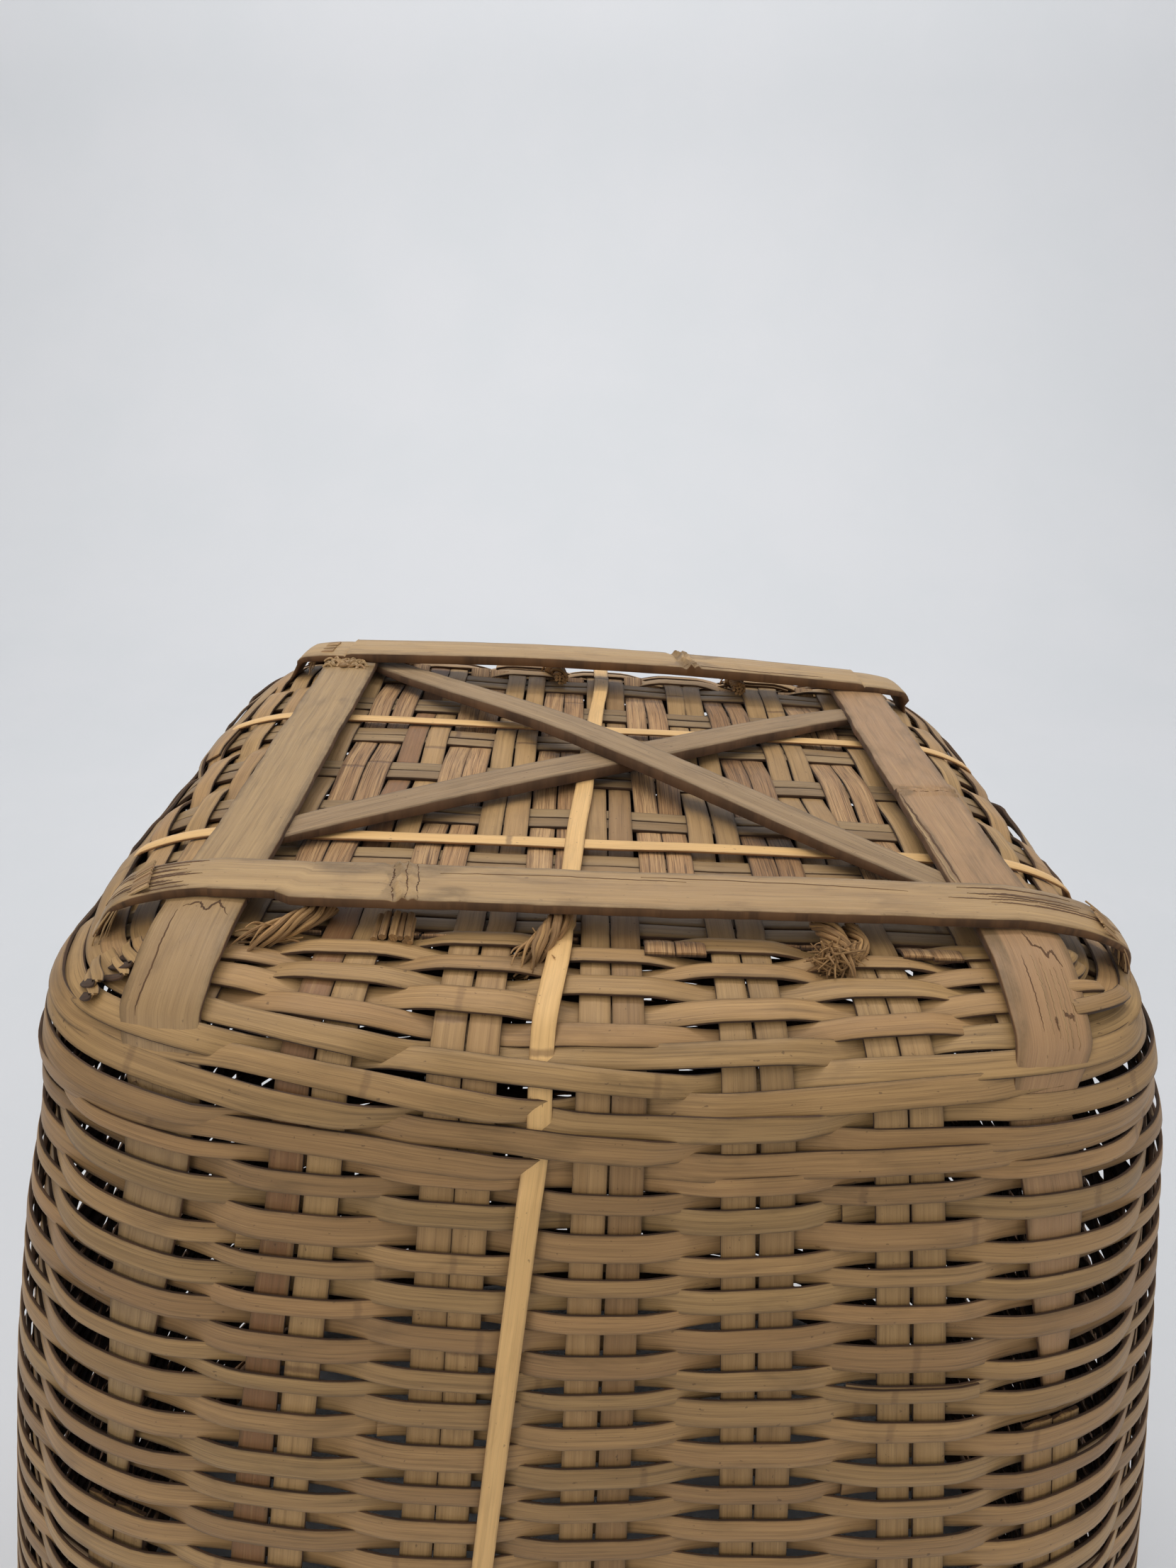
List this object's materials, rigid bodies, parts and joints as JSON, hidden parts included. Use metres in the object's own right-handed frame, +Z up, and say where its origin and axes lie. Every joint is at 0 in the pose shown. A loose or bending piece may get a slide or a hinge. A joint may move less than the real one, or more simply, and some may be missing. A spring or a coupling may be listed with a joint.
{
  "type": "woven laundry basket",
  "caption": "Large open-weave bamboo basket with a square strapped base and a wide rounded mouth, standing upside down on its rim.",
  "frame": {"origin": "centre of the mouth, on the floor that the rim rests on, with the basket standing upside down as it is stored", "axes": "+Z up from the mouth to the square base; -Y is the face with the front strap; +X to the right seen from that face"},
  "size_m": [0.553, 0.553, 0.571],
  "materials": {
    "stake_bamboo": "aged split bamboo, satin",
    "filler_bamboo": "aged inner bamboo, fibrous, matt",
    "weft_bamboo": "aged split bamboo, satin",
    "strap_bamboo": "aged bamboo skin, satin, with nodes",
    "brace_bamboo": "grey-brown weathered bamboo, matt",
    "tie_bamboo": "fresh pale split bamboo, satin",
    "bamboo_fibre": "twisted bamboo fibre, matt",
    "rim_bamboo": "aged bamboo skin, satin",
    "lashing_bamboo": "thin split bamboo, satin"
  },
  "bodies": {
    "root": {"back_cross_tie": "tie_bamboo", "back_fibre_knots": "bamboo_fibre", "back_left_corner_binding": "weft_bamboo", "back_right_corner_binding": "weft_bamboo", "back_strap": "strap_bamboo", "base_filler_1": "filler_bamboo", "base_filler_2": "filler_bamboo", "base_filler_3": "filler_bamboo", "base_filler_4": "filler_bamboo", "base_filler_5": "filler_bamboo", "base_filler_6": "filler_bamboo", "cross_stake_1": "stake_bamboo", "cross_stake_2": "stake_bamboo", "cross_stake_3": "stake_bamboo", "cross_stake_4": "stake_bamboo", "cross_stake_5": "stake_bamboo", "cross_stake_6": "stake_bamboo", "cross_stake_7": "stake_bamboo", "front_cross_tie": "tie_bamboo", "front_fibre_knots": "bamboo_fibre", "front_left_corner_binding": "weft_bamboo", "front_right_corner_binding": "weft_bamboo", "front_strap": "strap_bamboo", "inner_rim_hoop": "rim_bamboo", "left_strap": "strap_bamboo", "long_stake_1": "stake_bamboo", "long_stake_2": "stake_bamboo", "long_stake_3": "stake_bamboo", "long_stake_4": "stake_bamboo", "long_stake_5": "stake_bamboo", "long_stake_6": "stake_bamboo", "long_stake_7": "stake_bamboo", "long_tie": "tie_bamboo", "lower_brace": "brace_bamboo", "outer_rim_hoop": "rim_bamboo", "right_strap": "strap_bamboo", "rim_lashing": "lashing_bamboo", "shoulder_wefts": "weft_bamboo", "upper_brace": "brace_bamboo", "wale_band": "weft_bamboo", "wall_wefts_01": "weft_bamboo", "wall_wefts_02": "weft_bamboo", "wall_wefts_03": "weft_bamboo", "wall_wefts_04": "weft_bamboo", "wall_wefts_05": "weft_bamboo", "wall_wefts_06": "weft_bamboo", "wall_wefts_07": "weft_bamboo", "wall_wefts_08": "weft_bamboo", "wall_wefts_09": "weft_bamboo", "wall_wefts_10": "weft_bamboo", "wall_wefts_11": "weft_bamboo", "wall_wefts_12": "weft_bamboo", "wall_wefts_13": "weft_bamboo", "wall_wefts_14": "weft_bamboo", "wall_wefts_15": "weft_bamboo"}
  },
  "joints": []
}
